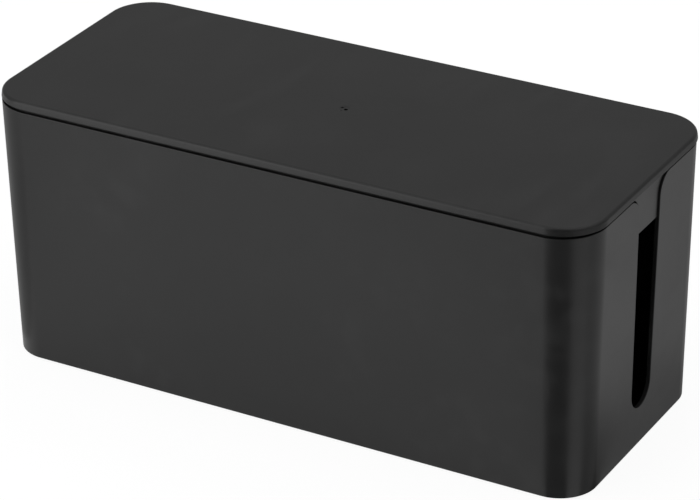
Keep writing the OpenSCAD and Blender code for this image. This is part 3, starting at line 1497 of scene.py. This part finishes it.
@dataclass(frozen=True)
class Card:
    """A glowing card that only reflections show, a painted reflection that can carry painted shade: a fan on
    the floor, or an upright back at its rim.

    Attributes:
        name: The card's name.
        tip: Where the fan starts, on the floor.
        azimuths_deg: Its first and last direction, from the front towards +X.
        reach: How far it reaches from the tip.
        tone: How bright it is.
        height: Height of the upright back, which takes the fan's place; 0 for a fan.
        near_tip: Share of the tone that is left at the tip, as painted shade of the box.
        near_box: Share of the tone that is left close to the box, as painted contact shade.
        tip_fade: Distances from the tip between which the tone comes back.
        box_fade: Distance from the box at which the tone is back.
        box_half: Half the box's size on the floor, with no end upwards.
        rim_share: Share of the reach past which a point is on the rim.
        z: How far the fan lies above the floor.
        sides: How many sides its full circle has.
    """

    name: str
    tip: Pair
    azimuths_deg: Pair
    reach: float
    tone: float
    height: float = 0.0
    near_tip: float = 1.0
    near_box: float = 1.0
    tip_fade: Pair = (0.05, 0.12)
    box_fade: float = 0.05
    box_half: Triple = (0.157, 0.0648, 1.0)
    rim_share: float = 0.9
    z: float = 0.4 * MM
    sides: int = 96

    def material(self) -> bpy.types.Material:
        """Makes the card's glow, which painted shade darkens towards the tip and the box.

        Returns:
            The new material.
        """
        material, shader = new_material(self.name)
        place = shader.add("ShaderNodeTexCoord").outputs["Object"]
        from_tip = shader.vector("DISTANCE", place, (*self.tip, self.z))["Value"]
        aside = shader.vector("ABSOLUTE", place)["Vector"]
        past = shader.vector("SUBTRACT", aside, self.box_half)["Vector"]
        clear = shader.vector("MAXIMUM", past)["Vector"]
        from_box = shader.vector("LENGTH", clear)["Value"]
        tip_share = shader.spread(from_tip, *self.tip_fade, self.near_tip, 1.0)
        box_share = shader.spread(from_box, 0.0, self.box_fade, self.near_box, 1.0)
        tone = shader.calc("MULTIPLY", shader.calc("MULTIPLY", tip_share, box_share), self.tone)
        shader.add("ShaderNodeOutputMaterial", {"Surface": shader.glow(tone)})
        return material

    def build(self) -> None:
        """Adds the card."""
        clear_selection()
        tip = Vector((*self.tip, self.z))
        bpy.ops.mesh.primitive_circle_add(
            vertices=self.sides, radius=self.reach, fill_type="NGON", location=tip
        )
        piece = Workpiece(bpy.context.active_object, self.name)
        first, last = map(math.radians, self.azimuths_deg)
        for normal in ((-math.cos(first), -math.sin(first), 0), (math.cos(last), math.sin(last), 0)):
            with piece.editing(Part.FACE, everything=True):
                bpy.ops.mesh.bisect(plane_co=tip, plane_no=normal, clear_outer=True)
        if self.height:
            rim = self.rim_share * self.reach
            with piece.editing(Part.EDGE):
                piece.pick_edges(lambda a, b: (a - tip).length > rim and (b - tip).length > rim)
                piece.pull((0, 0, self.height))
            with piece.editing(Part.FACE):
                piece.pick_faces(lambda middle, normal: abs(normal.z) > LEVEL)
                bpy.ops.mesh.delete(type="FACE")
        piece.obj.data.materials.clear()
        piece.obj.data.materials.append(self.material())
        # Only glossy rays see the card, so its glow is a painted reflection.
        for ray in ("camera", "diffuse", "transmission", "volume_scatter", "shadow"):
            setattr(piece.obj, f"visible_{ray}", False)


# Where the cards start, on the floor: at three places along the foot of the front right corner, at the
# front left corner and at the middle of the front.
CORNER_START = (0.1433, -0.0556)
CORNER_MIDDLE = (0.1447, -0.0569)
CORNER_END = (0.1526, -0.0567)
LEFT_CORNER = (-0.160, -0.0675)
FRONT = (0.0, -0.0675)


@dataclass
class Studio:
    """The pale floor, the soft lamps and the glowing cards that paint reflections and shade into the glossy
    plastic.

    Attributes:
        floor_size: Width of the floor.
        floor_tone: Its matt colour's brightness.
        floor_lift: How far it is lifted to plain white where it is looked at.
        reflected_share: How far it is evened out in reflections.
        reflected_tone: Its even tone there.
        room_tone: Brightness of the room's walls.
        zenith_tone: Brightness overhead.
        zenith_from: Where between level (0) and overhead (1) the one turns into the other.
        cards: The glowing cards, painted reflections and painted shade, from the front round to the back.
        lamps: The lamps.
    """

    floor_size: float = 6.0
    floor_tone: float = 0.9
    floor_lift: float = 0.92
    reflected_share: float = 0.5
    reflected_tone: float = 0.66
    room_tone: float = 0.302
    zenith_tone: float = 0.65
    zenith_from: Pair = (0.5, 0.85)
    # Each card is a glow that only reflections show: painted reflections of bright and dark surroundings,
    # some with painted shade towards the box.
    cards: tuple[Card, ...] = (
        # Painted highlight: a bright glow in front, which the lid's front edge reflects.
        Card("painted_highlight_card", FRONT, (-66.0, -10.0), 0.62, 1.7, height=0.75),
        # Painted shade: a dark upright at the front right corner, which the corner's edges reflect.
        Card("painted_shade_flag", CORNER_START, (-10.0, 52.0), 1.0, 0.04, height=2.2),
        # Painted shade: a dim upright at the right end, which the lid's end edge reflects.
        Card("painted_end_shade_flag", CORNER_END, (52.0, 200.0), 0.46, 0.3, height=0.2),
        # Painted shadow: the floor in front of the right corner, dark as its shade in reflections.
        Card("painted_shadow_fan", CORNER_START, (-16.7, 49.3), 1.0, 0.17),
        # Painted reflections of the floor round the corner, the end and the left, with painted shade towards
        # the tip and the box.
        Card("light_fan", CORNER_MIDDLE, (49.3, 91.3), 1.0, 0.76),
        Card("dim_fan", CORNER_END, (91.3, 143.3), 1.0, 0.5, near_tip=0.6),
        Card("end_fan", CORNER_END, (143.3, 161.0), 1.0, 0.645, near_tip=0.46, near_box=0.36),
        Card("rear_fan", CORNER_END, (161.0, 200.0), 1.0, 0.455, near_box=0.7),
        Card("left_fan", LEFT_CORNER, (-160.0, -40.0), 0.5, 0.49),
    )
    lamps: tuple[Softbox, ...] = (
        Softbox("key_softbox", -48.0, 52.0, 1.8, (2.0, 2.0), 22.0),
        Softbox("fill_softbox", 75.0, 58.0, 1.9, (1.0, 1.0), 9.0),
        Softbox("back_softbox", 178.0, 62.0, 1.9, (1.2, 0.8), 9.0),
    )

    def floor_material(self) -> bpy.types.Material:
        """Makes the floor's material: matt white, lifted where it is looked at and even in reflections.

        Returns:
            The new material.
        """
        material, shader = new_material("floor")
        path = shader.add("ShaderNodeLightPath").outputs
        seen = shader.calc("MULTIPLY", path["Is Camera Ray"], self.floor_lift)
        reflected = shader.calc("MAXIMUM", path["Is Glossy Ray"], path["Is Transmission Ray"])
        evened = shader.calc("MULTIPLY", reflected, self.reflected_share)
        tone = (self.floor_tone, self.floor_tone, self.floor_tone, 1.0)
        matt = shader.add("ShaderNodeBsdfDiffuse", {"Color": tone}).outputs[0]
        lifted = shader.add("ShaderNodeMixShader", {0: seen, 1: matt, 2: shader.glow(1.0)}).outputs[0]
        parts = {0: evened, 1: lifted, 2: shader.glow(self.reflected_tone)}
        mix = shader.add("ShaderNodeMixShader", parts).outputs[0]
        shader.add("ShaderNodeOutputMaterial", {"Surface": mix})
        return material

    def floor(self) -> None:
        """Adds the floor."""
        half = self.floor_size / 2
        floor = Workpiece.sheet("floor", (-half, -half), (half, half))
        floor.obj.data.materials.append(self.floor_material())

    def room(self) -> None:
        """Sets the soft light of the room, which is brighter overhead."""
        world = bpy.data.worlds.new("room")
        bpy.context.scene.world = world
        world.use_nodes = True
        shader = Shader(world.node_tree)
        way = shader.add("ShaderNodeTexCoord").outputs["Generated"]
        up = shader.add("ShaderNodeSeparateXYZ", {"Vector": way}).outputs["Z"]
        tone = shader.spread(up, *self.zenith_from, self.room_tone, self.zenith_tone)
        glow = shader.add("ShaderNodeBackground", {"Color": WHITE, "Strength": tone}).outputs[0]
        shader.add("ShaderNodeOutputWorld", {"Surface": glow})

    def build(self) -> None:
        """Adds the floor, the cards, the lamps and the room's light."""
        self.floor()
        for piece in (*self.cards, *self.lamps):
            piece.build()
        self.room()


def dress(obj: bpy.types.Object, material: bpy.types.Material) -> None:
    """Gives a piece its finish.

    Args:
        obj: The piece.
        material: The finish.
    """
    obj.data.materials.clear()
    obj.data.materials.append(material)


def main() -> None:
    """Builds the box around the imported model, and the studio round it."""
    logging.basicConfig(level=logging.INFO, format="%(name)s: %(message)s")
    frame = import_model()
    bpy.context.scene.view_settings.view_transform = "Standard"
    plan = BoxPlan.from_frame()
    Camera().build()
    effects = Effects.build()
    tub_finish = MouldedPlastic("tub_plastic", seat=(0.31, 0.17, 0.05)).build(effects)
    lid_finish = MouldedPlastic("lid_plastic", smudge_tone=0.003, seat=(0.11, 0.52, 0.23)).build(effects)
    rubber = FootRubber().build(effects)
    for piece, node, body, finish, slot in (
        (Tub(plan).build(), Node.TUB, Body.TUB, tub_finish, Slot.TUB),
        (Lid(plan).build(), Node.LID, Body.LID, lid_finish, Slot.LID),
    ):
        dress(piece.obj, finish)
        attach(piece.obj, body.value)
        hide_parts(node.value)
        log.info("%s: %d faces", piece.obj.name, len(piece.obj.data.polygons))
    for node in FEET:
        dress(frame["nodes"][node.value], rubber)
        log.info("%s: dressed", node.value)
    Studio().build()


if __name__ == "__main__":
    main()
